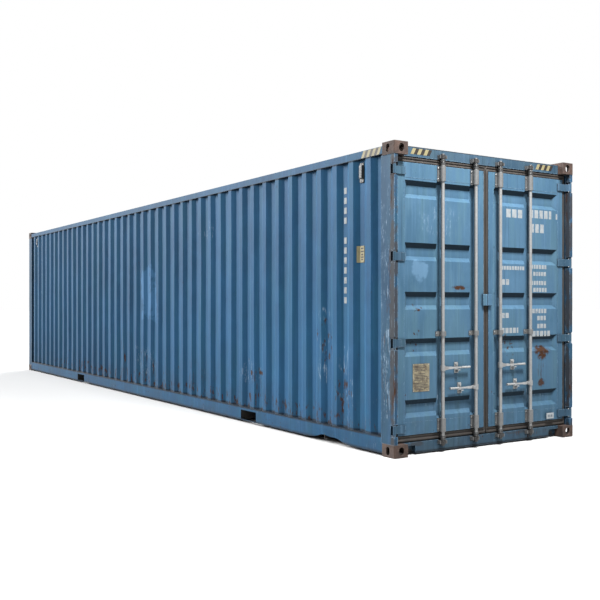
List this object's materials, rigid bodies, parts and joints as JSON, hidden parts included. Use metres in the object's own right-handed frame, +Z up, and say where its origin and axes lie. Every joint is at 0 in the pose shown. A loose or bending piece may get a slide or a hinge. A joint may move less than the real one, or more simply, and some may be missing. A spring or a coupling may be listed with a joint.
{
  "type": "shipping container",
  "caption": "Long high-cube steel shipping container with ribbed walls, hinged rear doors, turning lock bars with lift-up handles, fork pockets, a gooseneck tunnel and cast corner fittings.",
  "frame": {"origin": "on the ground plane under the middle of the container", "axes": "+X along the length towards the doors, +Y across to the right-hand door seen from outside, +Z up"},
  "size_m": [12.192, 2.438, 2.896],
  "materials": {
    "shell_paint": "weathered blue container enamel",
    "door_paint": "weathered blue container enamel",
    "cast_corner": "cast steel, painted and rusted",
    "underframe_coating": "black underseal",
    "plywood": "worn hardwood plywood",
    "pin_steel": "turned steel",
    "galvanised_gear": "galvanised tube",
    "forged_gear": "galvanised forging",
    "seal_rubber": "dusty black extruded rubber",
    "vent_plastic": "grey moulded cover",
    "plate_metal": "weathered plate"
  },
  "bodies": {
    "frame": {"rear_left_post": "shell_paint", "rear_right_post": "shell_paint", "front_left_post": "shell_paint", "front_right_post": "shell_paint", "left_bottom_rail": "shell_paint", "right_bottom_rail": "shell_paint", "left_top_rail": "shell_paint", "right_top_rail": "shell_paint", "front_top_rail": "shell_paint", "front_bottom_rail": "shell_paint", "left_side_wall": "shell_paint", "right_side_wall": "shell_paint", "front_wall": "shell_paint", "roof": "shell_paint", "door_header": "door_paint", "door_sill": "door_paint", "bottom_corner_castings": "cast_corner", "top_corner_castings": "cast_corner", "cross_members": "underframe_coating", "fork_pockets": "underframe_coating", "gooseneck_tunnel": "underframe_coating", "floor": "plywood", "hinge_pins": "pin_steel", "cam_keepers": "forged_gear", "ventilators": "vent_plastic"},
    "left_door": {"left_door_frame": "door_paint", "left_door_panel": "door_paint", "left_door_hinge_blades": "door_paint", "left_door_gasket": "seal_rubber", "left_door_handle_catches": "forged_gear", "left_door_bar_brackets": "forged_gear", "data_plate": "plate_metal"},
    "right_door": {"right_door_frame": "door_paint", "right_door_panel": "door_paint", "right_door_hinge_blades": "door_paint", "right_door_gasket": "seal_rubber", "right_door_handle_catches": "forged_gear", "right_door_bar_brackets": "forged_gear"},
    "lock_bar_1": {"lock_bar_1": "galvanised_gear"},
    "handle_1": {"handle_1": "galvanised_gear"},
    "lock_bar_2": {"lock_bar_2": "galvanised_gear"},
    "handle_2": {"handle_2": "galvanised_gear"},
    "lock_bar_3": {"lock_bar_3": "galvanised_gear"},
    "handle_3": {"handle_3": "galvanised_gear"},
    "lock_bar_4": {"lock_bar_4": "galvanised_gear"},
    "handle_4": {"handle_4": "galvanised_gear"}
  },
  "joints": [
    {"name": "left_door_swing", "type": "hinge", "parent": "frame", "child": "left_door", "pos_m": [6.074, -1.199, 1.448], "axis": [0, 0, -1], "range_deg": [0, 265]},
    {"name": "right_door_swing", "type": "hinge", "parent": "frame", "child": "right_door", "pos_m": [6.074, 1.199, 1.448], "axis": [0, 0, 1], "range_deg": [0, 265]},
    {"name": "lock_bar_1_turn", "type": "hinge", "parent": "left_door", "child": "lock_bar_1", "pos_m": [6.062, -0.6, 1.445], "axis": [0, 0, 1], "range_deg": [-110, 0]},
    {"name": "handle_1_lift", "type": "hinge", "parent": "lock_bar_1", "child": "handle_1", "pos_m": [6.067, -0.556, 0.795], "axis": [1, 0, 0], "range_deg": [0, 12]},
    {"name": "lock_bar_2_turn", "type": "hinge", "parent": "left_door", "child": "lock_bar_2", "pos_m": [6.062, -0.168, 1.445], "axis": [0, 0, -1], "range_deg": [-110, 0]},
    {"name": "handle_2_lift", "type": "hinge", "parent": "lock_bar_2", "child": "handle_2", "pos_m": [6.067, -0.212, 0.597], "axis": [-1, 0, 0], "range_deg": [0, 12]},
    {"name": "lock_bar_3_turn", "type": "hinge", "parent": "right_door", "child": "lock_bar_3", "pos_m": [6.062, 0.168, 1.445], "axis": [0, 0, 1], "range_deg": [-110, 0]},
    {"name": "handle_3_lift", "type": "hinge", "parent": "lock_bar_3", "child": "handle_3", "pos_m": [6.067, 0.212, 0.795], "axis": [1, 0, 0], "range_deg": [0, 12]},
    {"name": "lock_bar_4_turn", "type": "hinge", "parent": "right_door", "child": "lock_bar_4", "pos_m": [6.062, 0.6, 1.445], "axis": [0, 0, -1], "range_deg": [-110, 0]},
    {"name": "handle_4_lift", "type": "hinge", "parent": "lock_bar_4", "child": "handle_4", "pos_m": [6.067, 0.556, 0.597], "axis": [-1, 0, 0], "range_deg": [0, 12]}
  ]
}
